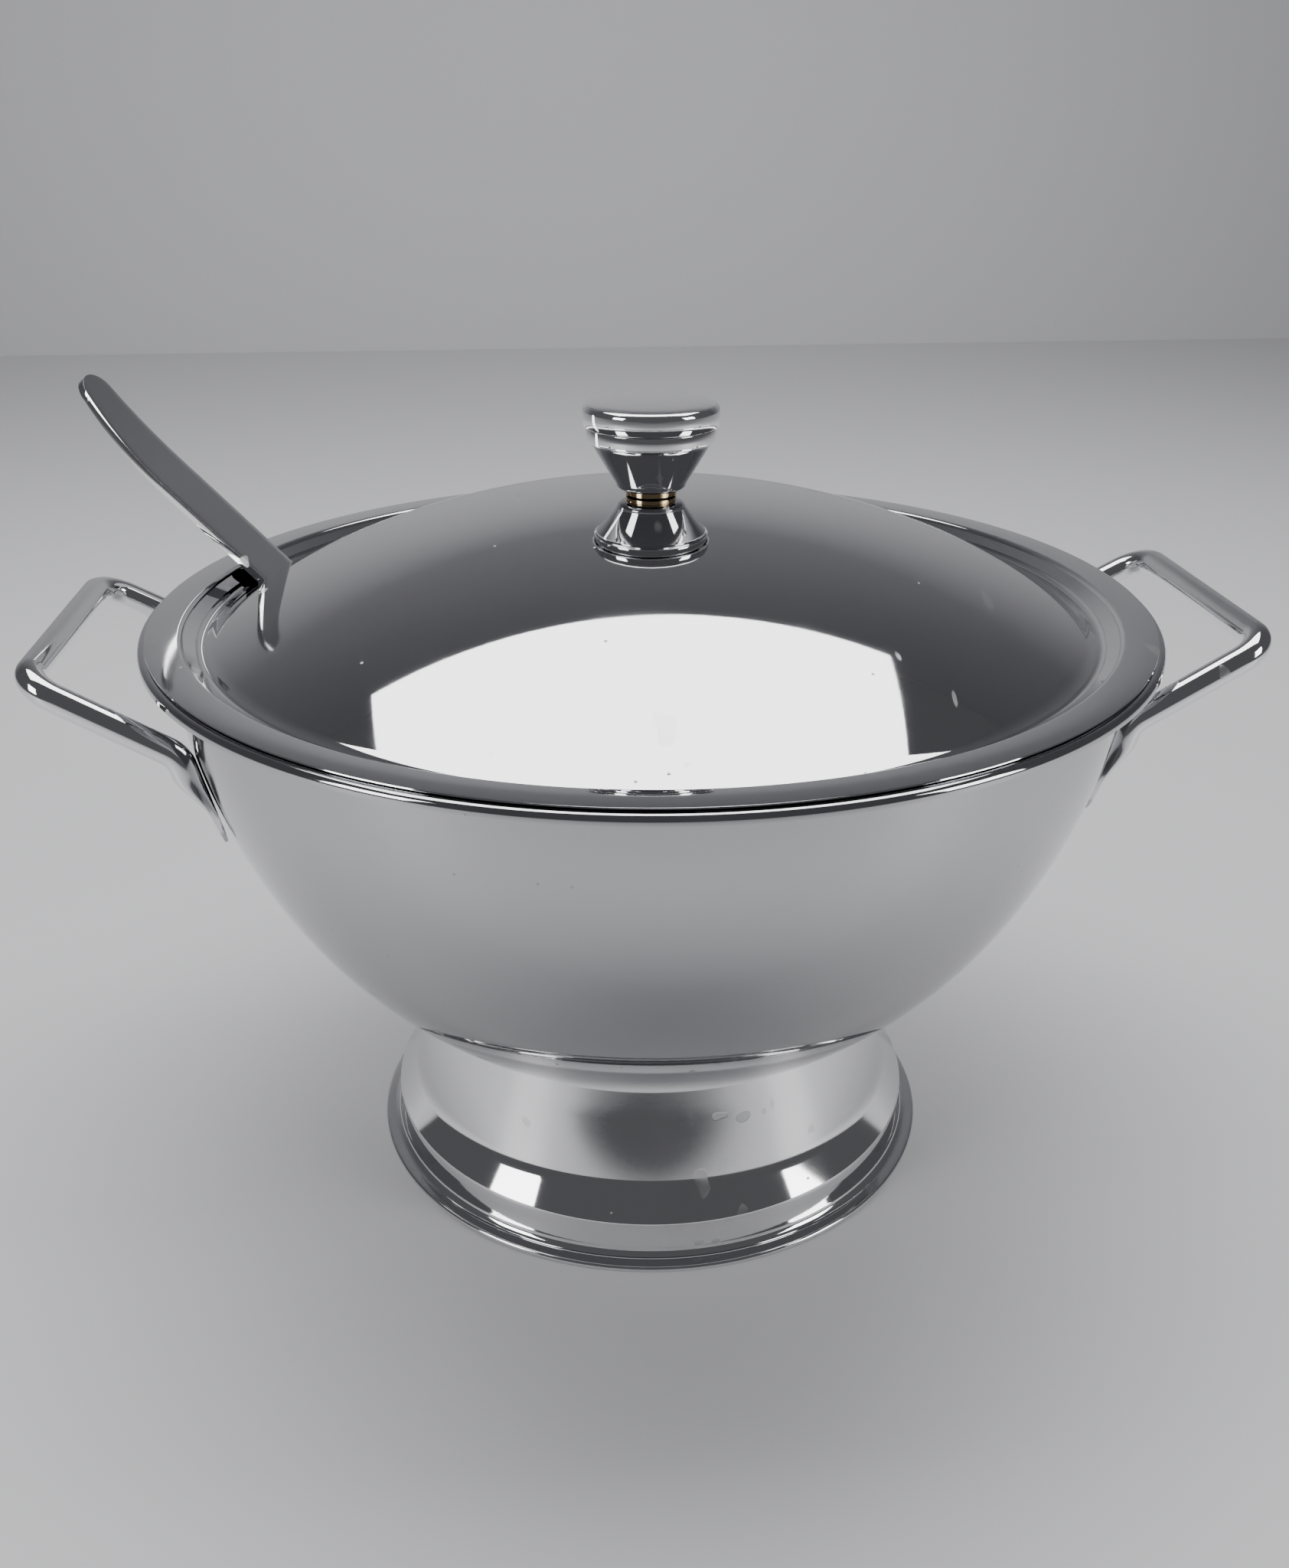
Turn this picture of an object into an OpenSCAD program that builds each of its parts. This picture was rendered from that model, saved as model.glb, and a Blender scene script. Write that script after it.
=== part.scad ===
// Soup tureen: footed steel bowl, two bar handles, domed lid with knob, and a
// ladle that comes out through a window in the lid's locating groove.
// Millimetres. Origin: centre of the foot, on the surface it stands on.
// +Z up, the two handles on +X and -X.

/* [Bowl] */
// Outer radius of the rim flange
rim_r = 150; // [120:0.5:190]
// Width of the flange outside the bowl's curve
flange_w = 7.5; // [5:0.5:14]
// Height of the bowl's lowest point above the surface
bowl_lift = 29; // [20:0.5:50]
// Depth of the bowl outside, from the flange's top face
bowl_depth = 151; // [115:0.5:185]
// How far above the flange the bowl's curve would be widest
bowl_bulge = 8.5; // [4:0.5:20]
// Sheet thickness of the bowl
bowl_wall = 0.8; // [0.6:0.1:2]
// Height of the turned-down edge of the flange
rim_lip_h = 2.6; // [1.6:0.1:5]

/* [Foot] */
// Outer radius of the bottom flange
foot_r = 92.3; // [70:0.1:110]
// Radius of the upright band under the shoulder
band_r = 86.7; // [64:0.1:104]
// Height of the shoulder
shoulder_h = 14.3; // [10:0.1:22]
// Radius of the foot where it meets the bowl
neck_r = 70.6; // [50:0.1:84]
// Sheet thickness of the foot
foot_wall = 1; // [0.7:0.1:2]
// Thickness of the rolled bottom flange
foot_edge = 1.8; // [1.2:0.1:3]
// Width of the welding lip on top of the foot
weld_lip = 9; // [5:0.5:14]

/* [Handles] */
// Diameter of the handle bar
bar_d = 8; // [6:0.1:12]
// Distance from the rim's edge out to the grip's centre line
grip_out = 24.2; // [20:0.1:45]
// Distance from the rim's top face down to the grip's centre line
grip_drop = 3.6; // [-10:0.1:20]
// Length of the grip between the corner points
grip_len = 91.2; // [70:0.1:110]
// Distance between the two legs at the wall
leg_gap = 96; // [76:0.1:116]
// Distance from the rim's top face down to where the legs meet the wall
leg_drop = 25.5; // [18:0.1:45]
// Bend radius of the corners, at the bar's centre line
corner_r = 10; // [8:0.5:16]
// Width of the flattened tongues
tongue_w = 13; // [10:0.5:18]
// Thickness of the flattened tongues
tongue_t = 3.2; // [2.4:0.1:4]
// Length of a tongue below the leg
tongue_len = 28; // [20:0.5:36]

/* [Lid] */
// How far the brim's edge stays inside the rim's edge
brim_inset = 2; // [0:0.5:5]
// Play between the groove's outer edge and the inside of the bowl
groove_play = 4.3; // [2:0.1:8]
// Width of the groove, from its outer edge in to the foot of the dome
groove_w = 6.4; // [5:0.1:10]
// Depth of the groove below the brim
groove_depth = 4.4; // [3:0.1:8]
// Height of the dome above the groove's floor
dome_h = 36.3; // [20:0.1:60]
// Sheet thickness of the lid
lid_wall = 0.8; // [0.6:0.1:1.5]
// Direction of the ladle, from +X
ladle_az = 159.4; // [140:0.1:170]
// How much wider the window is than the ladle's strip
window_play = 6.5; // [3:0.1:12]
// How far the window reaches in from the groove's outer edge
window_depth = 12.9; // [12:0.1:17]

/* [Knob] */
// Radius of the knob's cap
cap_r = 20; // [15:0.1:26]
// Height of the knob above the dome
knob_h = 27.6; // [22:0.1:40]
// Radius of the knob's neck
knob_neck_r = 7.5; // [6:0.1:10]
// Height of the cap's upright band
cap_band_h = 5.2; // [3:0.1:8]
// Height of the narrower band under the cap
body_band_h = 4; // [2:0.1:7]
// Sheet thickness of the knob
knob_wall = 0.8; // [0.6:0.1:1.2]
// Radius of the lid's screw
screw_r = 2; // [1.5:0.1:3]

/* [Ladle] */
// Width of the handle strip
strip_w = 19.5; // [14:0.1:20]
// Thickness of the handle strip
strip_t = 2.5; // [1.5:0.1:2.8]
// Angle of the handle above the horizontal
strip_rise = 41; // [38:0.5:48]
// Length of the handle's straight part outside the lid
strip_out = 44; // [30:1:70]
// Length of the curved part to the tip
tip_arc = 42; // [30:1:60]
// Bend radius of the curved part
tip_bend_r = 165; // [120:5:400]
// Width of the strip near its tip
tip_w = 13; // [9:0.5:16]
// Radius of the cup's rim
cup_r = 42; // [32:0.5:46]
// Depth of the cup
cup_depth = 30; // [22:0.5:34]
// Sheet thickness of the cup
cup_wall = 1; // [0.8:0.1:1.6]
// Angle between the handle and the plane of the cup's rim
cup_angle = 53; // [45:1:65]

/* [Hidden] */
$fn = 96;

seat = 0.3;                 // gap where a loose piece rests on another
weld = 0.1;                 // gap between two faces that are welded together
slack = 0.9;                // side play of the strip where it lies in its window
eps = 0.01;

// Sizes that follow the rim, the bowl and the strip
bowl_r = rim_r - flange_w;              // the bowl's curve where it is widest
rim_h = bowl_lift + bowl_depth;         // the flange's top face
grip_x = rim_r + grip_out;
grip_z = rim_h - grip_drop;
leg_z = rim_h - leg_drop;
brim_r = rim_r - brim_inset;
groove_r = bowl_r - bowl_wall - groove_play;
dome_r = groove_r - groove_w;
window_w = strip_w + window_play;

steel = "silver";
brass = "goldenrod";

// The bowl's curve is part of an ellipse about this height
bowl_cz = rim_h + bowl_bulge;
bowl_b = bowl_depth + bowl_bulge;

// Radius of the bowl's curve at a height, moved outwards by grow
function curve_r(z, grow = 0) =
    (bowl_r + grow) * sqrt(max(0, 1 - pow((bowl_cz - z) / (bowl_b + grow), 2)));

// Height of the bowl's curve at a radius, moved outwards by grow
function curve_z(r, grow = 0) =
    bowl_cz - (bowl_b + grow) * sqrt(max(0, 1 - pow(r / (bowl_r + grow), 2)));

// Points of the curve from the axis up to a height
function curve_pts(z_top, grow, steps) =
    let (a_top = acos(min(1, (bowl_cz - z_top) / (bowl_b + grow))))
    [for (i = [0 : steps]) let (a = a_top * i / steps)
        [(bowl_r + grow) * sin(a), bowl_cz - (bowl_b + grow) * cos(a)]];

function reversed(pts) = [for (i = [len(pts) - 1 : -1 : 0]) pts[i]];

// Arc about c from angle a0 to a1
function arc(c, r, a0, a1, steps) =
    [for (i = [0 : steps]) let (a = a0 + (a1 - a0) * i / steps)
        c + r * [cos(a), sin(a)]];

// Moves every point of a profile down by t
function sunk(pts, t) = [for (p = pts) [p[0], p[1] - t]];

// ---------------------------------------------------------------- bowl

lip_r = 1.6;                // outer bend of the flange's edge
throat_r = 2;               // bend between the bowl and its flange

module bowl() {
    top_in = rim_h - throat_r;
    color(steel)
    rotate_extrude()
    polygon(concat(
        curve_pts(rim_h - bowl_wall - throat_r, 0, 40),
        arc([curve_r(top_in) + throat_r, rim_h - bowl_wall - throat_r], throat_r, 180, 90, 6),
        [[rim_r - bowl_wall, rim_h - bowl_wall - 0.4]],
        [[rim_r - bowl_wall, rim_h - rim_lip_h], [rim_r, rim_h - rim_lip_h]],
        arc([rim_r - lip_r, rim_h - lip_r], lip_r, 0, 90, 6),
        arc([curve_r(top_in) + throat_r - bowl_wall / 2, rim_h - throat_r],
            throat_r, 90, 170, 6),
        reversed(curve_pts(rim_h - throat_r - 2, -bowl_wall, 40))
    ));
}

// ---------------------------------------------------------------- foot

shoulder_r = 3.5;           // bend of the shoulder
cove_r = 2.6;               // bend between the band and the bottom flange

module foot() {
    neck_z = curve_z(neck_r, weld);
    slope = atan2(neck_z - shoulder_h, band_r - neck_r);
    lip_in = neck_r - weld_lip;
    outer = concat(
        [[foot_r - 0.6, 0], [foot_r, 0.6], [foot_r, foot_edge - 0.6], [foot_r - 0.6, foot_edge]],
        arc([band_r + cove_r, foot_edge + cove_r], cove_r, 270, 180, 5),
        arc([band_r - shoulder_r, shoulder_h - shoulder_r / 2], shoulder_r, 0, 90 - slope, 5),
        [[neck_r, neck_z]]
    );
    lip_top = [for (i = [0 : 6]) let (r = neck_r - weld_lip * i / 6) [r, curve_z(r, weld)]];
    lip_low = [for (i = [6 : -1 : 0])
        let (r = neck_r - 1.4 * foot_wall - (weld_lip - 1.4 * foot_wall) * i / 6)
        [r, curve_z(r, weld + foot_wall)]];
    color(steel)
    rotate_extrude()
    polygon(concat(
        outer,
        lip_top,
        lip_low,
        arc([band_r - shoulder_r, shoulder_h - shoulder_r / 2], shoulder_r - foot_wall,
            90 - slope, 0, 5),
        [[band_r - foot_wall, foot_edge + cove_r],
         [band_r - foot_wall + 1.2, foot_edge / 2],
         [band_r + 1, 0]]
    ));
}

// ---------------------------------------------------------------- handles

// Direction of a tongue on the wall, and the place where its leg meets it
tongue_az = asin(leg_gap / 2 / (curve_r(leg_z) + bar_d / 2 + weld));
leg_x = (curve_r(leg_z) + bar_d / 2 + weld) * cos(tongue_az);
// The loop's own plane: u runs outwards and up along the legs
loop_rise = atan2(grip_z - leg_z, grip_x - leg_x);
loop_u = norm([grip_z - leg_z, grip_x - leg_x]);
toe_in = atan2((leg_gap - grip_len) / 2, loop_u);
corner_cut = corner_r * tan((90 - toe_in) / 2);

bend_x = loop_u - corner_r;
bend_y = grip_len / 2 - corner_cut;
// At the wall the bar bends down by this angle, to run along the bowl
wall_lean = atan2(curve_r(leg_z) - curve_r(leg_z - 16), 16);
wall_turn = 90 - loop_rise - wall_lean;
wall_bend_r = 8;
lap = 0.2;                  // how far a straight reaches into a bend
straight_d = bar_d - 0.02;
leg_len = norm([loop_u, (leg_gap - grip_len) / 2]) - corner_cut - wall_bend_r * tan(wall_turn / 2);

// One corner with its leg in the loop's plane, y > 0, and the leg's end bent down
module corner_and_leg() {
    translate([bend_x, bend_y, 0]) {
        rotate_extrude(angle = 90 - toe_in, $fn = 96)
            translate([corner_r, 0]) circle(d = bar_d, $fn = 48);
        rotate([0, 0, 90 - toe_in])
        translate([corner_r, 0, 0]) {
            translate([0, -lap, 0])
            rotate([-90, 0, 0])
            cylinder(h = leg_len + 2 * lap, d = straight_d, $fn = 48);
            translate([0, leg_len, -wall_bend_r])
            rotate([0, 0, 90])
            rotate([90, 0, 0])
            rotate([0, 0, 90 - wall_turn]) {
                rotate_extrude(angle = wall_turn, $fn = 96)
                    translate([wall_bend_r, 0]) circle(d = bar_d, $fn = 48);
                translate([wall_bend_r, lap, 0])
                rotate([90, 0, 0])
                cylinder(h = 11, d1 = straight_d, d2 = bar_d - 0.6, $fn = 48);
            }
        }
    }
}

// Band that follows the wall outside, between two gaps, above height z0
module wall_band(g0, g1, z0, z1) {
    steps = 10;
    rotate([0, 0, tongue_az - 12])
    rotate_extrude(angle = 24)
    polygon(concat(
        [for (i = [0 : steps]) let (z = z0 + (z1 - z0) * i / steps) [curve_r(z, g1), z]],
        [for (i = [steps : -1 : 0]) let (z = z0 + (z1 - z0) * i / steps) [curve_r(z, g0), z]]
    ));
}

// Flattened end of the bar, y > 0, lying on the bowl's wall
module tongue() {
    tip_z = leg_z - tongue_len;
    intersection() {
        wall_band(weld, weld + tongue_t, tip_z - 1, leg_z + bar_d / 2);
        rotate([0, 0, tongue_az])
        rotate([90, 0, 90])
        linear_extrude(height = 2 * bowl_r)
        union() {
            translate([0, tip_z + tongue_w / 2]) circle(d = tongue_w);
            translate([-tongue_w / 2, tip_z + tongue_w / 2])
                square([tongue_w, leg_z - tip_z - tongue_w / 2]);
        }
    }
}

module handle() {
    color(steel)
    difference() {
        union() {
            for (side = [0, 1]) mirror([0, side, 0]) {
                translate([leg_x, 0, leg_z]) rotate([0, -loop_rise, 0]) corner_and_leg();
                tongue();
            }
            // the grip
            translate([leg_x, 0, leg_z])
            rotate([0, -loop_rise, 0])
            translate([loop_u, bend_y + lap, 0])
            rotate([90, 0, 0])
            cylinder(h = 2 * (bend_y + lap), d = straight_d, $fn = 48);
        }
        // nothing of the handle reaches into the bowl's wall
        rotate_extrude()
            polygon(concat(curve_pts(rim_h - 4, weld, 40), [[0, rim_h - 4]]));
    }
}

module right_handle() { handle(); }
module left_handle() { rotate([0, 0, 180]) handle(); }

// ---------------------------------------------------------------- lid

brim_top = rim_h + seat + lid_wall;
floor_z = brim_top - groove_depth;
dome_R = (dome_r * dome_r + dome_h * dome_h) / (2 * dome_h);
dome_top = floor_z + dome_h;
groove_bend = 1.6;          // bend of the groove's floor and of its outer edge

function dome_z(r) = dome_top - dome_R + sqrt(dome_R * dome_R - r * r);

// Upper face of the lid from the screw hole out to the brim's edge
function lid_face() = concat(
    [for (i = [0 : 36]) let (r = screw_r + seat + (dome_r - screw_r - seat) * i / 36)
        [r, dome_z(r)]],
    arc([dome_r + groove_bend, floor_z + groove_bend * 0.9], groove_bend, 240, 350, 7),
    arc([groove_r + groove_bend, brim_top - groove_bend], groove_bend, 165, 90, 6),
    [[brim_r, brim_top]]
);

// Outline of the ladle's window, seen from above, x pointing outwards
module window_outline() {
    in_r = groove_r - window_depth;
    corner_in = 1;
    corner_out = 2.5;
    x_in = in_r + corner_in;
    x_out = groove_r - corner_out;
    y_in = window_w / 2 - corner_in;
    y_out = window_w / 2 - corner_out;
    polygon(concat(
        arc([x_out, -y_out], corner_out, -90, 0, 5), arc([x_out, y_out], corner_out, 0, 90, 5),
        arc([x_in, y_in], corner_in, 90, 180, 4), arc([x_in, -y_in], corner_in, 180, 270, 4)
    ));
}

module lid() {
    color(steel)
    difference() {
        rotate_extrude()
            polygon(concat(lid_face(), reversed(sunk(lid_face(), lid_wall))));
        // the strip lies near one side of its window
        rotate([0, 0, ladle_az])
        translate([0, slack + (strip_w - window_w) / 2, floor_z - 10])
        linear_extrude(height = 30) window_outline();
    }
}

// ---------------------------------------------------------------- knob

knob_z0 = dome_top + seat;
knob_z1 = dome_top + knob_h;
cap_z0 = knob_z1 - 2 - cap_band_h;
band_z0 = cap_z0 - 0.3 - body_band_h;
bush_flange = 1.3;
body_r = cap_r - 1;

module knob_cap() {
    crown = 1.2;
    edge = 1.6;
    top = knob_z1 - crown;
    color(steel)
    rotate_extrude()
    polygon(concat(
        [[cap_r - knob_wall, cap_z0], [cap_r, cap_z0]],
        arc([cap_r - edge, top - edge], edge, 0, 70, 5),
        [[cap_r * 0.5, top + crown * 0.75], [0, knob_z1]],
        [[0, knob_z1 - knob_wall], [cap_r * 0.5, top + crown * 0.75 - knob_wall]],
        arc([cap_r - edge, top - edge], edge - knob_wall, 70, 0, 5)
    ));
}

// Radius of the body's flank at a height above its foot, as a share 0 to 1: a
// straight cone above, rounded in to the neck below
flank_low = 0.14;
flank_shares = [0, 0.01, 0.03, 0.06, 0.1, 0.14, 0.4, 0.7, 1];
cone_low_r = knob_neck_r + 3;
cone_top_r = body_r - 1.2;
function taper(s) = s > flank_low
    ? cone_low_r + (cone_top_r - cone_low_r) * (s - flank_low) / (1 - flank_low)
    : knob_neck_r + (cone_low_r - knob_neck_r) * sqrt(1 - pow(1 - s / flank_low, 2));

module knob_body() {
    z0 = knob_z0 + bush_flange + weld / 2;
    cone = [for (s = flank_shares) [taper(s), z0 + (band_z0 - 0.6 - z0) * s]];
    color(steel)
    rotate_extrude()
    polygon(concat(
        cone,
        [[body_r - 0.5, band_z0 - 0.5], [body_r, band_z0], [body_r, band_z0 + body_band_h],
         [body_r - knob_wall, band_z0 + body_band_h], [body_r - knob_wall, band_z0 + 0.4]],
        [for (i = [len(cone) - 1 : -1 : 1]) cone[i] + knob_wall * [-0.85, 0.75]],
        [[knob_neck_r - knob_wall, z0 + knob_wall], [knob_neck_r - 2, z0 + knob_wall],
         [knob_neck_r - 2, z0]]
    ));
}

module knob_bush() {
    color(brass)
    difference() {
        union() {
            translate([0, 0, knob_z0]) cylinder(h = bush_flange, r = knob_neck_r);
            translate([0, 0, knob_z0 + bush_flange - eps])
                cylinder(h = 10, r = knob_neck_r - 2 - weld / 2);
        }
        translate([0, 0, knob_z0 - 1]) cylinder(h = 14, r = screw_r + weld / 2);
    }
}

washer_t = 0.8;
washer_r = 7;
washer_z = dome_top - lid_wall - seat - washer_t;

module lid_washer() {
    color(steel)
    translate([0, 0, washer_z - 0.1])
    difference() {
        cylinder(h = washer_t, r = washer_r);
        translate([0, 0, -1]) cylinder(h = washer_t + 2, r = screw_r + 0.2);
    }
}

module lid_screw() {
    head_h = 2.4;
    color(steel)
    difference() {
        union() {
            translate([0, 0, washer_z - 0.1 - head_h - 0.05])
                cylinder(h = head_h, r1 = 3.2, r2 = 4);
            translate([0, 0, washer_z - 0.2]) cylinder(h = 13, r = screw_r);
        }
        // screwdriver slot
        translate([-5, -0.5, washer_z - 0.2 - head_h - 1]) cube([10, 1, 2]);
    }
}

// ---------------------------------------------------------------- ladle

// The ladle lies in a vertical plane through the axis. In that plane x runs
// outwards. The strip's centre line crosses the window at this point.
in_edge_r = groove_r - window_depth;
strip_up = [cos(strip_rise), sin(strip_rise)];
strip_side = [sin(strip_rise), -cos(strip_rise)];
window_pt = [in_edge_r, dome_z(in_edge_r) - lid_wall] + (strip_t / 2 + 0.55) * strip_side;

cup_R = (cup_r * cup_r + cup_depth * cup_depth) / (2 * cup_depth);
cup_tilt = strip_rise - cup_angle;
// From the strip's lower end to the middle of the cup's rim, handle level
joint_x = cup_r + weld + strip_t / 2;
function turned(p, a) = [p[0] * cos(a) - p[1] * sin(a), p[0] * sin(a) + p[1] * cos(a)];

// Centre of the cup's sphere when the strip reaches in by len
function cup_centre(len) =
    window_pt - len * strip_up + turned([-joint_x, cup_R - cup_depth], cup_tilt);

// Smallest gap between the cup and the bowl's inner face
function cup_gap(len) = min([for (a = [-60 : 1 : 20])
    norm([(bowl_r - bowl_wall) * sin(a), bowl_cz - (bowl_b - bowl_wall) * cos(a)]
         - cup_centre(len))]) - cup_R;

// Length at which the cup comes to rest on the bowl, by halving
function find_len(lo, hi, n) =
    let (mid = (lo + hi) / 2)
    n == 0 ? mid : cup_gap(mid) > seat + 0.1 ? find_len(mid, hi, n - 1) : find_len(lo, mid, n - 1);
strip_in = find_len(cup_r, 2.5 * bowl_r, 26);

// Puts a part drawn with the rim's centre at the origin into the bowl
module in_ladle_place() {
    joint = window_pt - strip_in * strip_up;
    rotate([0, 0, ladle_az])
    translate([joint[0], 0, joint[1]])
    rotate([0, -cup_tilt, 0])
    translate([-joint_x, 0, 0])
    children();
}

module cup_shell(r_out, r_in) {
    lift = cup_R - cup_depth;
    a0 = -90;
    a1 = -asin(lift / cup_R);
    rotate_extrude()
    polygon(concat(
        arc([0, lift], r_out, a0, a1, 18),
        arc([0, lift], r_in, a1, a0, 18)
    ));
}

module ladle_cup() {
    color(steel) in_ladle_place() cup_shell(cup_R, cup_R - cup_wall);
}

// Strip outline from above, x along the handle, x = 0 at the cup
module strip_plan(len) {
    taper_len = 46;
    half = strip_w / 2;
    polygon(concat(
        [[-3, half], [-3, -half], [len - taper_len, -half], [len - taper_len / 2, 1 - half]],
        arc([len - tip_w / 2, 0], tip_w / 2, -80, 80, 10),
        [[len - taper_len / 2, half - 1], [len - taper_len, half]]
    ));
}

module ladle_handle() {
    straight = strip_in + strip_out;
    bend = tip_arc / tip_bend_r * 180 / PI;
    reach = straight + tip_bend_r * sin(bend);
    overlap = 20;           // how far the strip runs down the cup
    color(steel) in_ladle_place()
    difference() {
        union() {
            // the strip, drawn level and then raised to its angle with the rim
            translate([joint_x, 0, 0])
            rotate([0, -cup_angle, 0])
            intersection() {
                union() {
                    translate([-2, -strip_w, -strip_t / 2])
                        cube([straight + 2, 2 * strip_w, strip_t]);
                    translate([straight, 0, tip_bend_r])
                    rotate([90, 0, 0])
                    rotate([0, 0, -90.1])
                    translate([0, 0, -strip_w])
                    rotate_extrude(angle = bend + 0.1, $fn = 360)
                    translate([tip_bend_r - strip_t / 2 + 0.01, 0])
                    square([strip_t - 0.02, 2 * strip_w]);
                }
                translate([0, 0, -50]) linear_extrude(height = 100) strip_plan(reach);
            }
            // the strip's end, pressed to the cup's curve and welded on
            intersection() {
                cup_shell(cup_R + weld + strip_t, cup_R + weld / 2);
                translate([0, 0, -overlap])
                linear_extrude(height = overlap + 1)
                translate([cup_r / 3, 0.2 - strip_w / 2]) square([cup_r, strip_w - 0.4]);
            }
        }
        translate([0, 0, cup_R - cup_depth]) sphere(r = cup_R + weld);
    }
}

bowl();
foot();
left_handle();
right_handle();
lid();
knob_cap();
knob_body();
knob_bush();
lid_screw();
lid_washer();
ladle_handle();
ladle_cup();
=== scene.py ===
import math
import bpy
from mathutils import Matrix, Vector


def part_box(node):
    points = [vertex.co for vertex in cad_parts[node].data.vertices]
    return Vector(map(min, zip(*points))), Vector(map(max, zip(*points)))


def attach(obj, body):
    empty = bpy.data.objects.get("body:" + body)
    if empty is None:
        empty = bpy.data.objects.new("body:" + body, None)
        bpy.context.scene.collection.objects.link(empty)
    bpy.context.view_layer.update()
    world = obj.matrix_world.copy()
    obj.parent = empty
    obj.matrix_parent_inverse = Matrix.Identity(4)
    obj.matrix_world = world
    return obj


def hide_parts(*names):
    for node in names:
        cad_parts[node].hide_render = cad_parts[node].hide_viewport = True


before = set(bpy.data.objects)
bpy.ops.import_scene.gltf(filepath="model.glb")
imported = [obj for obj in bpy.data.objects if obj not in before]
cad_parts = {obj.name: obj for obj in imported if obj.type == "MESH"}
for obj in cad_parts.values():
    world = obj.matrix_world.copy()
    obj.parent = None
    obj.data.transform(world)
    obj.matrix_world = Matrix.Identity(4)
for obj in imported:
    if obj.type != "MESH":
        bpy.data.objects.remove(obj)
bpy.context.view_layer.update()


# ------------------------------------------------------------------ the bowl
# Deep-drawn stainless steel sheet, 0.8 mm, spun to an egg-shaped curve and
# mirror polished. The mouth is pressed out into a flat flange whose edge is
# turned down, and that flange carries the lid.

def clear():
    """Leaves nothing selected, so that an operator acts only on what is made next."""
    if bpy.context.object and bpy.context.object.mode != "OBJECT":
        bpy.ops.object.mode_set(mode="OBJECT")
    bpy.ops.object.select_all(action="DESELECT")


def spun(name, profile, steps=160, wall=0.0, smooth=35):
    """A lathe-turned sheet or ring: one point is drawn out along the profile, radius and
    height in mm, and the line is spun about Z. A wall gives a single line its thickness."""
    clear()
    bpy.ops.mesh.primitive_plane_add(size=0.001)
    piece = bpy.context.object
    piece.name = piece.data.name = name
    bpy.ops.object.mode_set(mode="EDIT")
    bpy.ops.mesh.select_all(action="SELECT")
    bpy.ops.mesh.merge(type="CENTER")
    points = [Vector((r / 1000, 0, z / 1000)) for r, z in profile]
    bpy.ops.transform.translate(value=points[0])
    for a, b in zip(points, points[1:]):
        bpy.ops.mesh.extrude_region_move(TRANSFORM_OT_translate={"value": b - a})
    bpy.ops.mesh.select_all(action="SELECT")
    bpy.ops.mesh.spin(steps=steps, angle=math.tau, center=(0, 0, 0), axis=(0, 0, 1))
    bpy.ops.mesh.select_all(action="SELECT")
    bpy.ops.mesh.remove_doubles(threshold=0.000004)
    bpy.ops.mesh.normals_make_consistent(inside=False)
    bpy.ops.object.mode_set(mode="OBJECT")
    if wall:
        sheet = piece.modifiers.new("wall", "SOLIDIFY")
        sheet.thickness = wall / 1000
        sheet.offset = -1
        sheet.use_even_offset = True
        bpy.ops.object.modifier_apply(modifier="wall")
    bpy.ops.object.shade_smooth_by_angle(angle=math.radians(smooth))
    return piece


def arc(cx, cz, r, a0, a1, n):
    """n + 1 points of a bend about (cx, cz), from angle a0 to a1 in degrees."""
    return [(cx + r * math.cos(math.radians(a0 + (a1 - a0) * i / n)),
             cz + r * math.sin(math.radians(a0 + (a1 - a0) * i / n))) for i in range(n + 1)]


class Wire:
    """A node socket, or a number, that ordinary Python maths can be written on."""

    def __init__(self, tree, source):
        self.tree, self.source = tree, source

    def node(self, kind, settings=None, inputs=None, out=0):
        made = self.tree.nodes.new(kind)
        for key, value in (settings or {}).items():
            setattr(made, key, value)
        for key, value in (inputs or {}).items():
            if isinstance(value, Wire):
                self.tree.links.new(value.source, made.inputs[key])
            else:
                made.inputs[key].default_value = value
        return Wire(self.tree, made.outputs[out])

    def maths(self, operation, a, b=0.0):
        return self.node("ShaderNodeMath", {"operation": operation}, {0: a, 1: b})

    def __add__(self, other):
        return self.maths("ADD", self, other)

    def __radd__(self, other):
        return self.maths("ADD", other, self)

    def __sub__(self, other):
        return self.maths("SUBTRACT", self, other)

    def __rsub__(self, other):
        return self.maths("SUBTRACT", other, self)

    def __mul__(self, other):
        return self.maths("MULTIPLY", self, other)

    def __gt__(self, other):
        return self.maths("GREATER_THAN", self, other)

    def between(self, low, high):
        return self.node("ShaderNodeMapRange", {"interpolation_type": "SMOOTHSTEP"},
                         {"Value": self, "From Min": low, "From Max": high})


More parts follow.
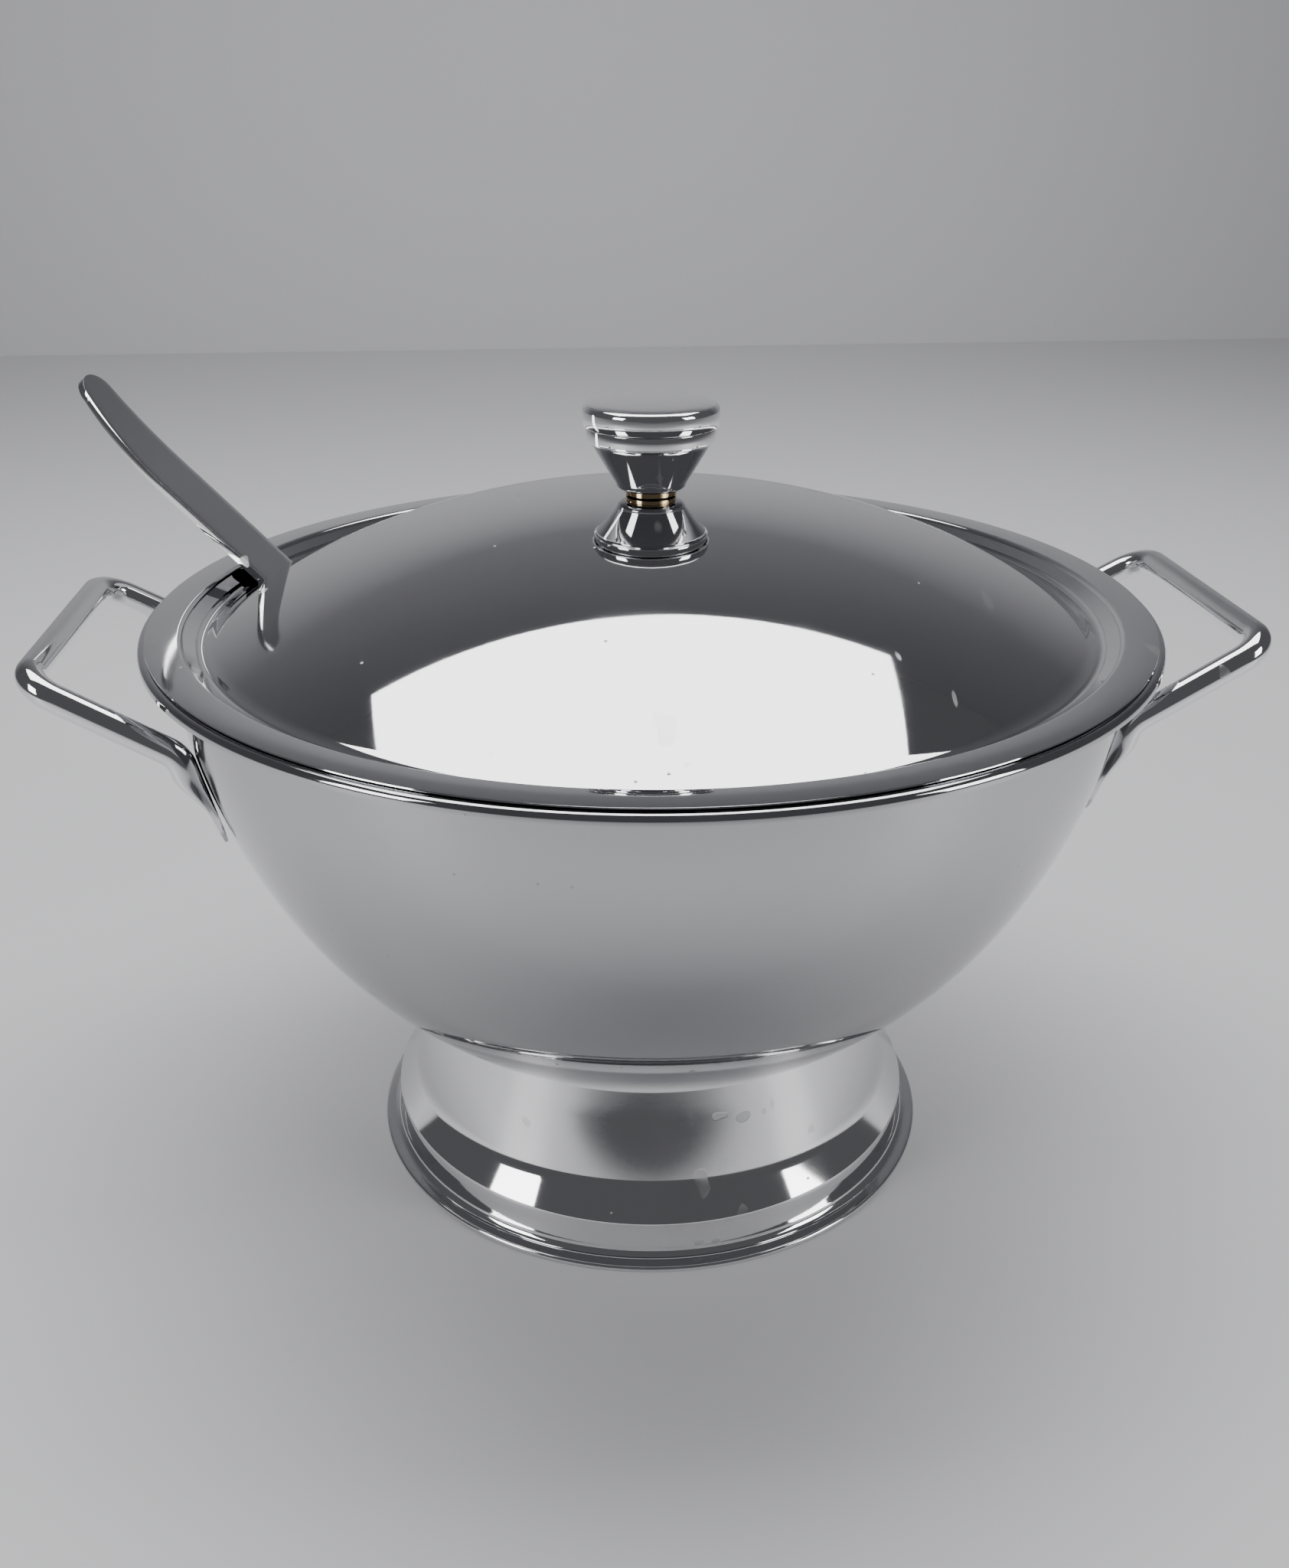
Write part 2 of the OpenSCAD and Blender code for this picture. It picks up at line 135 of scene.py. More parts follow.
def polished(name, tint, rough=0.03, wear=1.0, dust=1.0):
    """Polished stainless steel: a clear mirror that hairline scratches, wiping haze,
    smudges and a few dust specks keep from being perfect."""
    made = bpy.data.materials.new(name)
    made.use_nodes = True
    tree = made.node_tree
    steel = tree.nodes["Principled BSDF"]
    steel.inputs["Metallic"].default_value = 1.0
    wire = Wire(tree, None)
    place = wire.node("ShaderNodeTexCoord", out="Object")

    def noise(scale, detail=3.0, roughness=0.55, stretch=None, turn=(0, 0, 0)):
        at = place
        if stretch:
            at = wire.node("ShaderNodeMapping", None,
                           {"Vector": place, "Scale": stretch, "Rotation": turn})
        return wire.node("ShaderNodeTexNoise", None,
                         {"Vector": at, "Scale": scale, "Detail": detail,
                          "Roughness": roughness})

    haze = noise(14.0, 4.0).between(0.42, 0.75)
    smudge = noise(38.0, 5.0, 0.7).between(0.55, 0.8)
    # hairline scratches: noise drawn out thin in three directions, only its crests kept
    hair = None
    for turn, scale in (((0.3, 0.2, 0.5), 95.0), ((0.9, -0.4, 2.0), 120.0),
                        ((-0.5, 0.7, 3.6), 105.0)):
        line = noise(scale, 1.0, 0.4, (1.0, 0.035, 1.0), turn).between(0.735, 0.75)
        hair = line if hair is None else hair + line
    patch = noise(22.0, 2.0).between(0.5, 0.62)
    hair = wire.node("ShaderNodeClamp", None, {0: hair * patch})
    speck = wire.node("ShaderNodeTexVoronoi", None,
                      {"Vector": place, "Scale": 260.0, "Randomness": 1.0}, out="Distance")
    rare = wire.node("ShaderNodeTexVoronoi", None,
                     {"Vector": place, "Scale": 260.0, "Randomness": 1.0}, out="Color")
    chosen = wire.node("ShaderNodeSeparateColor", None, {0: rare}) > 0.975
    speck = (1.0 - speck.between(0.05, 0.16)) * chosen * dust

    rough_map = (rough + haze * (0.035 * wear) + smudge * (0.05 * wear) + hair * (0.18 * wear)
                 + speck * 0.4)
    tree.links.new(rough_map.source, steel.inputs["Roughness"])
    shade = wire.node("ShaderNodeMix", {"data_type": "RGBA"},
                      {"Factor": (smudge * 0.25 * wear + speck * 0.6),
                       "A": tint, "B": (tint[0] * 0.8, tint[1] * 0.79, tint[2] * 0.77, 1)},
                      out=2)
    tree.links.new(shade.source, steel.inputs["Base Color"])
    ripple = noise(9.0, 2.0, 0.5) * 0.45 + noise(420.0, 2.0, 0.6) * 0.006
    height = ripple - hair * 0.05 + speck * 0.25
    bump = wire.node("ShaderNodeBump", None,
                     {"Strength": 0.12, "Distance": 0.0012, "Height": height})
    tree.links.new(bump.source, steel.inputs["Normal"])
    return made


def coat(piece, material):
    piece.data.materials.clear()
    piece.data.materials.append(material)


mirror_steel = polished("mirror_steel", (0.50, 0.50, 0.515, 1))

BOWL_A, BOWL_B, BOWL_CZ = 142.5, 159.5, 188.5   # the curve's half-axes and its centre's height
WALL = 0.8
RIM_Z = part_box("bowl")[1].z * 1000
RIM_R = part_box("bowl")[1].x * 1000


def bowl_r(z):
    """Outer radius of the bowl at a height, in mm."""
    return BOWL_A * math.sqrt(max(0.0, 1 - ((BOWL_CZ - z) / BOWL_B) ** 2))


def bowl_z(r):
    """Height of the bowl's outer face at a radius, in mm."""
    return BOWL_CZ - BOWL_B * math.sqrt(1 - (r / BOWL_A) ** 2)


top_angle = math.degrees(math.acos((BOWL_CZ - (RIM_Z - 2.6)) / BOWL_B))
belly = [(BOWL_A * math.sin(math.radians(top_angle * i / 64)),
          BOWL_CZ - BOWL_B * math.cos(math.radians(top_angle * i / 64))) for i in range(65)]
throat = belly[-1][0] + 1.8
bowl = spun("bowl_shell", belly
            + arc(throat, RIM_Z - 2.6, 1.8, 170, 90, 5)
            + arc(RIM_R - 1.6, RIM_Z - 0.8 - 0.8, 0.8, 90, 0, 3)
            + [(RIM_R - 0.8, RIM_Z - 2.5)], steps=192, wall=-WALL)
coat(bowl, mirror_steel)
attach(bowl, "tureen")
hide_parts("bowl")


# ------------------------------------------------------------------ the foot
# A hollow cone pressed from 1 mm sheet: a rounded shoulder, an upright band
# and a thin flange with a rolled edge that stands on the table. Its top lip
# is welded under the bowl.

foot_steel = polished("foot_steel", (0.82, 0.82, 0.83, 1), rough=0.045, wear=1.2)
FOOT_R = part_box("foot")[1].x * 1000
BAND_R, SHOULDER_Z, NECK_R = 86.7, 14.3, 70.6
neck_z = bowl_z(NECK_R) - 0.15
slope = math.degrees(math.atan2(neck_z - SHOULDER_Z, BAND_R - NECK_R))
foot = spun("foot_shell",
            [(BAND_R - 1.2, 3.2), (BAND_R + 0.2, 1.0), (BAND_R + 1.6, 0.25)]
            + [(FOOT_R - 0.9, 0.0)] + arc(FOOT_R - 0.9, 0.9, 0.9, -90, 90, 8)
            + arc(BAND_R + 2.8, 4.6, 2.8, 270, 180, 7)
            + [(BAND_R - 0.25, 7.0), (BAND_R - 0.2, 9.6)]
            + arc(BAND_R - 3.4, 12.2, 3.4, 8, 90 - slope, 8)
            + [(NECK_R + (BAND_R - 4.4 - NECK_R) * (1 - i / 8) ** 1.04,
                SHOULDER_Z + 1.0 + (neck_z - SHOULDER_Z - 1.0) * i / 8) for i in range(1, 9)]
            + [(r, bowl_z(r) - 0.15) for r in (NECK_R - 2.5, NECK_R - 5, NECK_R - 9)]
            + [(r, bowl_z(r) - 1.15) for r in (NECK_R - 9, NECK_R - 5, NECK_R - 2.5)]
            + [(NECK_R - 0.9 + (BAND_R - 4.4 - NECK_R) * i / 4,
                neck_z - 1.2 - (neck_z - SHOULDER_Z - 1.8) * i / 4) for i in range(5)]
            + arc(BAND_R - 3.4, 12.2, 2.4, 90 - slope, 8, 6)
            + [(BAND_R - 1.2, 8.0), (BAND_R - 1.2, 3.2)], steps=160, smooth=40)
coat(foot, foot_steel)
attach(foot, "tureen")
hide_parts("foot")


# ------------------------------------------------------------------ the side handles
# Two 8 mm round bars, each bent to an open loop. The ends are bent down the
# wall, hammered flat to tongues and welded on under the rim.

bar_steel = polished("bar_steel", (0.78, 0.78, 0.79, 1), rough=0.05, wear=1.3)
BAR = 8.0
GRIP_X, GRIP_Z, GRIP_LEN = 174.2, 176.4, 91.2
LEG_GAP, LEG_Z, CORNER_R, WALL_BEND = 96.0, 154.5, 10.0, 8.0
TONGUE_W, TONGUE_T = 12.8, 3.2

tongue_az = math.asin(LEG_GAP / 2 / (bowl_r(LEG_Z) + BAR / 2 + 0.1))
leg_x = (bowl_r(LEG_Z) + BAR / 2 + 0.1) * math.cos(tongue_az)
rise = math.atan2(GRIP_Z - LEG_Z, GRIP_X - leg_x)
loop_u = math.hypot(GRIP_Z - LEG_Z, GRIP_X - leg_x)
toe_in = math.atan2((LEG_GAP - GRIP_LEN) / 2, loop_u)
corner_cut = CORNER_R * math.tan((math.pi / 2 - toe_in) / 2)
LEAN_OVER = 16                        # the stretch of wall whose lean the tongue follows
lean = math.atan2(bowl_r(LEG_Z) - bowl_r(LEG_Z - LEAN_OVER), LEAN_OVER)
wall_turn = math.pi / 2 - rise - lean

out = Vector((math.cos(rise), 0, math.sin(rise)))         # along a leg, away from the bowl
face = Vector((-math.sin(rise), 0, math.cos(rise)))       # square to the loop
across = Vector((0, 1, 0))
leg = math.sin(toe_in) * across - math.cos(toe_in) * out
square = face.cross(leg)


def mm(*v):
    return Vector(v) / 1000


def pull(step):
    """Draws the selected ring out by a step in mm."""
    bpy.ops.mesh.extrude_edges_move(TRANSFORM_OT_translate={"value": step / 1000})


clear()
bpy.ops.mesh.primitive_circle_add(vertices=32, radius=BAR / 2000,
                                  location=mm(GRIP_X, 0, GRIP_Z), rotation=(math.pi / 2, 0, 0))
bar = bpy.context.object
bar.name = bar.data.name = "right_handle_bar"
bpy.ops.object.transform_apply(location=True, rotation=True, scale=True)
bpy.ops.object.mode_set(mode="EDIT")
bpy.ops.mesh.select_all(action="SELECT")
half_grip = GRIP_LEN / 2 - corner_cut
pull(across * half_grip * 0.55)
pull(across * half_grip * 0.45)
corner_at = mm(GRIP_X, 0, GRIP_Z) + (half_grip * across - CORNER_R * out) / 1000
bpy.ops.mesh.spin(steps=12, angle=math.pi / 2 - toe_in, center=corner_at, axis=-face)
bend_cut = WALL_BEND * math.tan(wall_turn / 2)
leg_len = math.hypot(loop_u, (LEG_GAP - GRIP_LEN) / 2) - corner_cut - bend_cut
pull(leg * leg_len * 0.5)
pull(leg * leg_len * 0.5)
bend_at = mm(leg_x, LEG_GAP / 2, LEG_Z) - (leg * bend_cut + face * WALL_BEND) / 1000
bpy.ops.mesh.spin(steps=8, angle=-wall_turn, center=bend_at, axis=square)
down = leg * math.cos(wall_turn) - face * math.sin(wall_turn)
for step in (1.5,) * 13 + (1.0, 1.0, 1.0, 0.8, 0.6, 0.4):
    pull(down * step)
bpy.ops.mesh.edge_face_add()
bpy.ops.object.mode_set(mode="OBJECT")

# the hammer's work: below the bend the round is spread sideways and pressed to the wall
tongue_dir = Vector((math.cos(tongue_az), math.sin(tongue_az), 0))
tongue_side = Vector((-math.sin(tongue_az), math.cos(tongue_az), 0))
FLAT_TOP, FLAT_END = 149.0, 137.0     # heights between which the round turns flat
BEND_TOP = LEG_Z + 4                  # nothing above this height is hammered
EDGE_DROP = 0.5                       # how much thinner a tongue is at its long edges
lowest = min(v.co.z for v in bar.data.vertices) * 1000
for v in bar.data.vertices:
    p = v.co * 1000
    if p.z > BEND_TOP:
        continue
    side = p.dot(tongue_side)
    depth = p.dot(tongue_dir) - bowl_r(p.z)
    flat = min(1.0, max(0.0, (FLAT_TOP - p.z) / (FLAT_TOP - FLAT_END)))
    flat = flat * flat * (3 - 2 * flat)
    share = min(1.0, max(-1.0, side / (BAR / 2)))
    nose = min(1.0, max(0.0, (p.z - lowest) / (TONGUE_W / 2)))
    round_off = math.sqrt(max(0.0, 1 - (1 - nose) ** 2))
    wide = side * (1 - flat) + flat * share * TONGUE_W / 2 * max(0.12, round_off)
    crown = TONGUE_T - EDGE_DROP * share * share
    deep = max(0.15, min(depth, depth * (1 - flat) + crown * flat))
    radius = bowl_r(p.z) + deep
    spot = tongue_side * wide + tongue_dir * math.sqrt(max(0.0, radius ** 2 - wide ** 2))
    v.co = mm(spot.x, spot.y, p.z)

mirrored = bar.modifiers.new("other_half", "MIRROR")
mirrored.use_axis = (False, True, False)
mirrored.merge_threshold = 0.00002
clear()
bpy.context.view_layer.objects.active = bar
bar.select_set(True)
bpy.ops.object.modifier_apply(modifier="other_half")
bpy.ops.object.mode_set(mode="EDIT")
bpy.ops.mesh.select_all(action="SELECT")
bpy.ops.mesh.normals_make_consistent(inside=False)
bpy.ops.object.mode_set(mode="OBJECT")
bpy.ops.object.shade_smooth_by_angle(angle=math.radians(50))

left_bar = bar.copy()
left_bar.data = bar.data.copy()
left_bar.name = left_bar.data.name = "left_handle_bar"
bpy.context.scene.collection.objects.link(left_bar)
left_bar.data.transform(Matrix.Rotation(math.pi, 4, "Z"))
for piece, node in ((bar, "right_handle"), (left_bar, "left_handle")):
    coat(piece, bar_steel)
    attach(piece, "tureen")
    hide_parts(node)


# ------------------------------------------------------------------ the lid
# Spun from 0.8 mm sheet: a shallow dome, a groove that drops into the bowl's
# mouth and centres the lid, and a flat brim that lies on the bowl's flange.
# A window cut through the groove lets the ladle out.

lid_steel = polished("lid_steel", (0.64, 0.64, 0.655, 1), rough=0.03, wear=1.25, dust=1.6)
BRIM_Z = RIM_Z + 1.1
BRIM_R, GROOVE_R, DOME_R, GROOVE_DEEP, DOME_H, BEND = 148.0, 137.4, 131.0, 4.4, 36.3, 1.6
GROOVE_Z = BRIM_Z - GROOVE_DEEP
DOME_TOP = GROOVE_Z + DOME_H
DOME_CURVE = (DOME_R ** 2 + DOME_H ** 2) / (2 * DOME_H)


def dome_z(r):
    """Height of the dome's upper face at a radius, in mm."""
    return DOME_TOP - DOME_CURVE + math.sqrt(DOME_CURVE ** 2 - r * r)


lid = spun("lid_shell",
           [(r, dome_z(r)) for r in [2.3 + (DOME_R - 2.6) * i / 56 for i in range(57)]]
           + arc(DOME_R + BEND, GROOVE_Z + BEND * 0.9, BEND, 232, 352, 10)
           + arc(GROOVE_R + BEND, BRIM_Z - BEND, BEND, 170, 90, 8)
           + [(142.0, BRIM_Z), (BRIM_R - 0.5, BRIM_Z), (BRIM_R - 0.1, BRIM_Z - 0.1),
              (BRIM_R, BRIM_Z - 0.35)], steps=192, wall=WALL, smooth=40)

LADLE_AZ = math.radians(159.4)
WINDOW_W, WINDOW_DEEP = 26.0, 12.9
STRIP_W, STRIP_T, SIDE_PLAY = 19.5, 2.5, 0.9
clear()
bpy.ops.mesh.primitive_cube_add(
    size=1, location=mm(GROOVE_R - WINDOW_DEEP / 2, SIDE_PLAY + (STRIP_W - WINDOW_W) / 2, GROOVE_Z),
    scale=mm(WINDOW_DEEP, WINDOW_W, 30))
punch = bpy.context.object
bpy.ops.object.transform_apply(location=True, rotation=True, scale=True)
middle = (GROOVE_R - WINDOW_DEEP / 2) / 1000
# the window's corners are rounded by 1 mm at its inner end and 2.5 mm at its outer end
for outer_end, corner in ((False, 1.0), (True, 2.5)):
    bpy.ops.object.mode_set(mode="EDIT")
    bpy.ops.mesh.select_all(action="DESELECT")
    bpy.ops.object.mode_set(mode="OBJECT")
    for line in punch.data.edges:
        a, b = (punch.data.vertices[i].co for i in line.vertices)
        line.select = abs(a.z - b.z) > 0.01 and (a.x > middle) == outer_end
    bpy.ops.object.mode_set(mode="EDIT")
    bpy.ops.mesh.bevel(offset=corner / 1000, segments=6, affect="EDGES")
    bpy.ops.object.mode_set(mode="OBJECT")
punch.data.transform(Matrix.Rotation(LADLE_AZ, 4, "Z"))
window = lid.modifiers.new("window", "BOOLEAN")
window.operation = "DIFFERENCE"
window.solver = "EXACT"
window.object = punch
clear()
bpy.context.view_layer.objects.active = lid
lid.select_set(True)
bpy.ops.object.modifier_apply(modifier="window")
bpy.data.objects.remove(punch)
coat(lid, lid_steel)
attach(lid, "lid")
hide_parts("lid")


# ------------------------------------------------------------------ the knob
# Two thin spun shells pressed together: a tapering body and a cap that
# overlaps it. A turned brass bush sets it off the dome, and a screw with a
# washer holds it from below.

knob_steel = polished("knob_steel", (0.84, 0.84, 0.85, 1), rough=0.035, wear=1.0, dust=0.5)
CAP_R, BODY_R, KNOB_NECK, KNOB_WALL = 20.0, 19.0, 7.5, 0.8
KNOB_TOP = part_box("knob_cap")[1].z * 1000
CAP_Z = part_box("knob_cap")[0].z * 1000
BODY_Z, BODY_TOP = (corner.z * 1000 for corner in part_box("knob_body"))
EDGE = KNOB_TOP - 1.9
cap = spun("knob_cap_shell",
           [(0, KNOB_TOP - KNOB_WALL), (10, KNOB_TOP - 0.25 - KNOB_WALL), (17.4, KNOB_TOP - 0.95 - KNOB_WALL)]
           + arc(CAP_R - 2, EDGE - 0.9, 1.2, 70, 0, 5)
           + [(CAP_R - KNOB_WALL, CAP_Z + 0.2), (CAP_R - KNOB_WALL + 0.2, CAP_Z),
              (CAP_R - 0.25, CAP_Z), (CAP_R, CAP_Z + 0.25), (CAP_R, EDGE - 2.4)]
           + arc(CAP_R - 2, EDGE - 0.9, 2.0, 0, 72, 9)
           + [(15.5, KNOB_TOP - 0.52), (12, KNOB_TOP - 0.3), (8, KNOB_TOP - 0.13),
              (4, KNOB_TOP - 0.03), (0, KNOB_TOP)],
           steps=96, smooth=50)
taper_top = BODY_TOP - 4.6
CONE_LOW, CONE_TOP, ROUND = KNOB_NECK + 3.0, BODY_R - 1.2, 0.14
flank = [(KNOB_NECK + (CONE_LOW - KNOB_NECK) * math.sin(math.radians(a)),
          BODY_Z + (taper_top - BODY_Z) * ROUND * (1 - math.cos(math.radians(a))))
         for a in range(0, 91, 9)]
flank += [(CONE_LOW + (CONE_TOP - CONE_LOW) * s,
           BODY_Z + (taper_top - BODY_Z) * (ROUND + (1 - ROUND) * s))
          for s in (0.02, 0.06, 0.2, 0.45, 0.7, 0.94, 1.0)]
body = spun("knob_body_shell",
            [(KNOB_NECK - 2, BODY_Z), (KNOB_NECK - 0.3, BODY_Z)] + flank[1:]
            + [(BODY_R - 0.9, taper_top + 0.1), (BODY_R - 0.55, taper_top + 0.22)]
            + arc(BODY_R - 0.35, taper_top + 0.65, 0.35, -70, 0, 3)
            + [(BODY_R, BODY_TOP - 2.2)] + arc(BODY_R - 0.25, BODY_TOP - 0.25, 0.25, 0, 90, 3)
            + [(BODY_R - KNOB_WALL, BODY_TOP), (BODY_R - KNOB_WALL, taper_top + 1.4)]
            + [(r - 0.68, z + 0.6) for r, z in flank[:1:-2]]
            + [(KNOB_NECK - 1, BODY_Z + 0.8), (KNOB_NECK - 2, BODY_Z + 0.8), (KNOB_NECK - 2, BODY_Z)],
            steps=96, smooth=50)
for piece, node in ((cap, "knob_cap"), (body, "knob_body")):
    coat(piece, knob_steel)
    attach(piece, "lid")
    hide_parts(node)

bush_brass = polished("bush_brass", (0.72, 0.54, 0.30, 1), rough=0.12, wear=1.5)
coat(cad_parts["knob_bush"], bush_brass)
plain_steel = polished("plain_steel", (0.6, 0.6, 0.61, 1), rough=0.22, wear=1.5)
for node in ("lid_screw", "lid_washer"):
    coat(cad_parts[node], plain_steel)


# ------------------------------------------------------------------ the ladle
# A steel strip, straight inside the bowl and bent upwards outside the lid,
# with a rounded tip. Its lower end is pressed round a spun cup and welded on.

ladle_steel = polished("ladle_steel", (0.76, 0.76, 0.77, 1), rough=0.045, wear=1.6)
STRIP_RISE, STRIP_OUT, TIP_ARC, TIP_BEND, TIP_W = math.radians(41), 44.0, 42.0, 165.0, 13.0
CUP_R, CUP_DEEP, CUP_WALL, CUP_ANGLE = 42.0, 30.0, 1.0, math.radians(53)
CUP_CURVE = (CUP_R ** 2 + CUP_DEEP ** 2) / (2 * CUP_DEEP)
cup_tilt = STRIP_RISE - CUP_ANGLE
inner_r = GROOVE_R - WINDOW_DEEP
strip_up = Vector((math.cos(STRIP_RISE), 0, math.sin(STRIP_RISE)))
strip_side = Vector((math.sin(STRIP_RISE), 0, -math.cos(STRIP_RISE)))
at_window = Vector((inner_r, 0, dome_z(inner_r) - WALL)) + (STRIP_T / 2 + 0.55) * strip_side
cup_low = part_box("ladle_cup")[0].z * 1000


def cup_place(length):
    """Puts the cup's own frame, its rim's centre at the origin, at the strip's lower end."""
    joint = at_window - length * strip_up
    return (Matrix.Rotation(LADLE_AZ, 4, "Z") @ Matrix.Translation(joint / 1000)
            @ Matrix.Rotation(-cup_tilt, 4, "Y")
            @ Matrix.Translation(mm(-(CUP_R + 0.1 + STRIP_T / 2), 0, 0)))


lift = CUP_CURVE - CUP_DEEP
# the cup's lowest point fixes how far the strip reaches in
strip_in = 170.0
for _ in range(4):
    sphere = cup_place(strip_in) @ mm(0, 0, lift)
    strip_in += (sphere.z * 1000 - CUP_CURVE - cup_low) / math.sin(STRIP_RISE)
mouth = math.degrees(math.asin(lift / CUP_CURVE))
cup = spun("ladle_cup_shell",
           arc(0, lift, CUP_CURVE, -90, -mouth, 28)
           + [(CUP_R - 0.5, 0.12)]
           + arc(0, lift, CUP_CURVE - CUP_WALL, -mouth, -90, 28), steps=96, smooth=45)
cup.data.transform(cup_place(strip_in))
coat(cup, ladle_steel)
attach(cup, "ladle")
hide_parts("ladle_cup")

clear()
start = at_window - strip_in * strip_up
straight = strip_in + STRIP_OUT
total = straight + TIP_ARC
TAPER = 46.0                          # the strip narrows over this length before its tip


def strip_half(s):
    """Half the strip's width at a distance s from the cup, in mm."""
    left = total - s
    full = STRIP_W / 2
    if left > TAPER:
        return full
    side = full - (full - TIP_W / 2) * ((TAPER - left) / (TAPER - TIP_W / 2)) ** 1.7
    if left < TIP_W / 2:
        side = math.sqrt(max(0.0, (TIP_W / 2) ** 2 - (TIP_W / 2 - left) ** 2))
    return side


stations = [0.0, straight * 0.25, straight * 0.5, straight * 0.75, straight - 8, straight]
stations += [straight + TIP_ARC * i / 24 for i in range(1, 21)]
stations += [total - TIP_W / 2 * (1 - math.sin(math.radians(a)))
             for a in (10, 25, 40, 52, 63, 72, 80, 86)]
stations = sorted(s for s in stations if s < total - 0.01)
PRESSED = math.radians(32)            # how far round the cup the strip's end is pressed
cup_mid = Matrix.Rotation(-LADLE_AZ, 4, "Z") @ (cup_place(strip_in) @ mm(0, 0, lift)) * 1000
hug = CUP_CURVE + 0.1 + STRIP_T / 2
joint_at = math.atan2((start - cup_mid).z, (start - cup_mid).x)
round_cup = [joint_at - PRESSED * (1 - i / 10) for i in range(10)]
bpy.ops.mesh.primitive_grid_add(x_subdivisions=1, y_subdivisions=8, size=1,
                                rotation=(0, -round_cup[0], 0))
strip = bpy.context.object
strip.name = strip.data.name = "ladle_strip"
strip.scale = mm(STRIP_T, STRIP_W, 1)
bpy.ops.object.transform_apply(location=True, rotation=True, scale=True)
bpy.ops.object.mode_set(mode="EDIT")
bpy.ops.mesh.select_all(action="SELECT")
bpy.ops.transform.translate(
    value=(cup_mid + hug * Vector((math.cos(round_cup[0]), 0, math.sin(round_cup[0])))) / 1000)


def strip_at(s):
    """Centre line of the strip in its own plane, and its slope, at a distance s."""
    if s <= straight:
        return start + s * strip_up, STRIP_RISE
    turn = (s - straight) / TIP_BEND
    bend = start + straight * strip_up
    return (bend + TIP_BEND * (math.sin(turn) * strip_up - (1 - math.cos(turn)) * strip_side),
            STRIP_RISE + turn)


path = [(cup_mid + hug * Vector((math.cos(a), 0, math.sin(a))), a + math.pi / 2, STRIP_W / 2)
        for a in round_cup]
path += [(start, (joint_at + math.pi / 2 + STRIP_RISE) / 2, STRIP_W / 2)]
path += [(*strip_at(s), strip_half(s)) for s in [4.0] + stations[1:]]
for (p0, a0, half0), (p1, a1, half1) in zip(path, path[1:]):
    bpy.ops.mesh.extrude_region_move(TRANSFORM_OT_translate={"value": (p1 - p0) / 1000})
    if a1 != a0:
        bpy.ops.transform.rotate(value=a1 - a0, orient_axis="Y", center_override=p1 / 1000)
    bpy.ops.transform.resize(value=(1, half1 / half0, 1), center_override=p1 / 1000)
bpy.ops.mesh.select_all(action="SELECT")
bpy.ops.mesh.normals_make_consistent(inside=False)
bpy.ops.object.mode_set(mode="OBJECT")
# below the joint the strip is pressed to the cup's round
for v in strip.data.vertices:
    at = v.co * 1000 - cup_mid
    turn = math.atan2(at.z, at.x)
    if turn < joint_at - 0.001 and math.hypot(at.x, at.z) < hug + STRIP_T:
        share = min(1.0, (joint_at - turn) / math.radians(9))
        flat_r = math.hypot(at.x, at.z)
        round_r = math.sqrt(flat_r ** 2 - (share * at.y) ** 2)
        v.co = (cup_mid + Vector((at.x * round_r / flat_r, at.y, at.z * round_r / flat_r))) / 1000
edge = strip.modifiers.new("edge", "BEVEL")
edge.width, edge.segments, edge.limit_method = 0.00045, 3, "ANGLE"
edge.angle_limit = math.radians(50)
bpy.ops.object.modifier_apply(modifier="edge")
bpy.ops.object.shade_smooth_by_angle(angle=math.radians(40))
strip.data.transform(Matrix.Rotation(LADLE_AZ, 4, "Z"))
coat(strip, ladle_steel)
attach(strip, "ladle")
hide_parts("ladle_handle")


# ------------------------------------------------------------------ the studio
# A plain pale table with a plain pale wall behind, one wide soft
# light overhead, a smaller one at each side, and the camera.

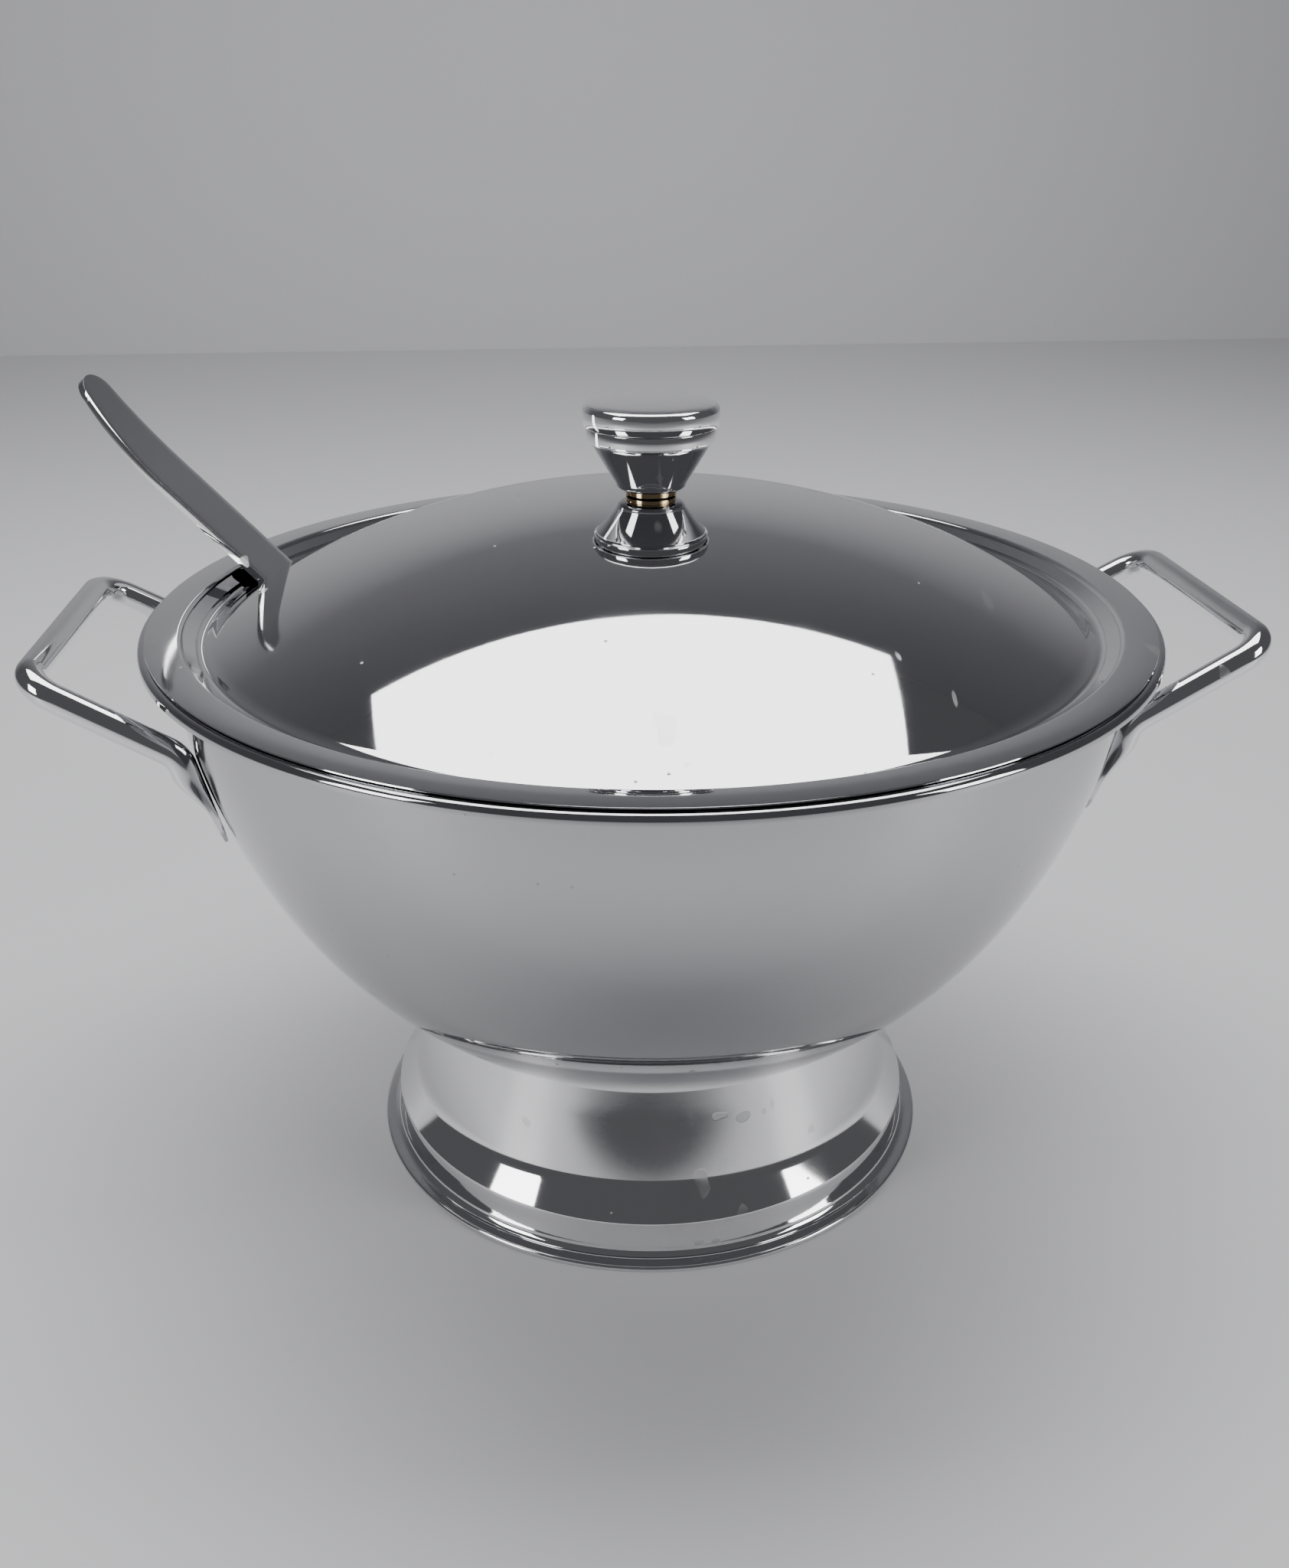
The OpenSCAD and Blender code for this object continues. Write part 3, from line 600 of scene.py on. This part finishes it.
clear()
bpy.ops.mesh.primitive_plane_add(size=1)
floor = bpy.context.object
floor.name = floor.data.name = "table"
floor.scale = (7, 3.4, 1)
bpy.ops.object.transform_apply(location=True, rotation=True, scale=True)
paint = bpy.data.materials.new("pale_table")
paint.use_nodes = True
paint.node_tree.nodes["Principled BSDF"].inputs["Base Color"].default_value = (0.74, 0.74, 0.76, 1)
paint.node_tree.nodes["Principled BSDF"].inputs["Roughness"].default_value = 0.5
floor.data.materials.append(paint)

clear()
bpy.ops.mesh.primitive_plane_add(size=1, location=(0, 1.7, 1.5), rotation=(math.pi / 2, 0, 0))
wall = bpy.context.object
wall.name = wall.data.name = "wall"
wall.scale = (7, 3, 1)
bpy.ops.object.transform_apply(location=True, rotation=True, scale=True)
wall.data.materials.append(paint)

world = bpy.data.worlds.new("studio")
bpy.context.scene.world = world
world.use_nodes = True
world.node_tree.nodes["Background"].inputs[0].default_value = (0.09, 0.09, 0.097, 1)


def soft_light(name, place, aim, size, power):
    data = bpy.data.lights.new(name, "AREA")
    data.shape, data.size, data.size_y = "RECTANGLE", size[0], size[1]
    data.energy = power
    lamp = bpy.data.objects.new(name, data)
    lamp.location = place
    lamp.rotation_euler = (Vector(aim) - Vector(place)).to_track_quat("-Z", "Y").to_euler()
    bpy.context.scene.collection.objects.link(lamp)


soft_light("overhead", (0, 0.30, 1.25), (0, 0.22, 0.0), (1.5, 0.75), 18)
soft_light("left", (-1.0, -0.55, 0.55), (0, 0, 0.10), (0.40, 0.55), 5)
soft_light("right", (1.0, -0.55, 0.55), (0, 0, 0.10), (0.40, 0.55), 5)

camera_data = bpy.data.cameras.new("camera")
camera = bpy.data.objects.new("camera", camera_data)
bpy.context.scene.collection.objects.link(camera)
camera.location = (-0.0413, -0.4364, 0.3206)
camera.rotation_euler = (math.radians(65.253), 0, math.radians(-5.155))
camera_data.sensor_fit = "HORIZONTAL"
camera_data.sensor_width = 36
camera_data.lens = 41.87
camera_data.clip_start = 0.01
bpy.context.scene.camera = camera
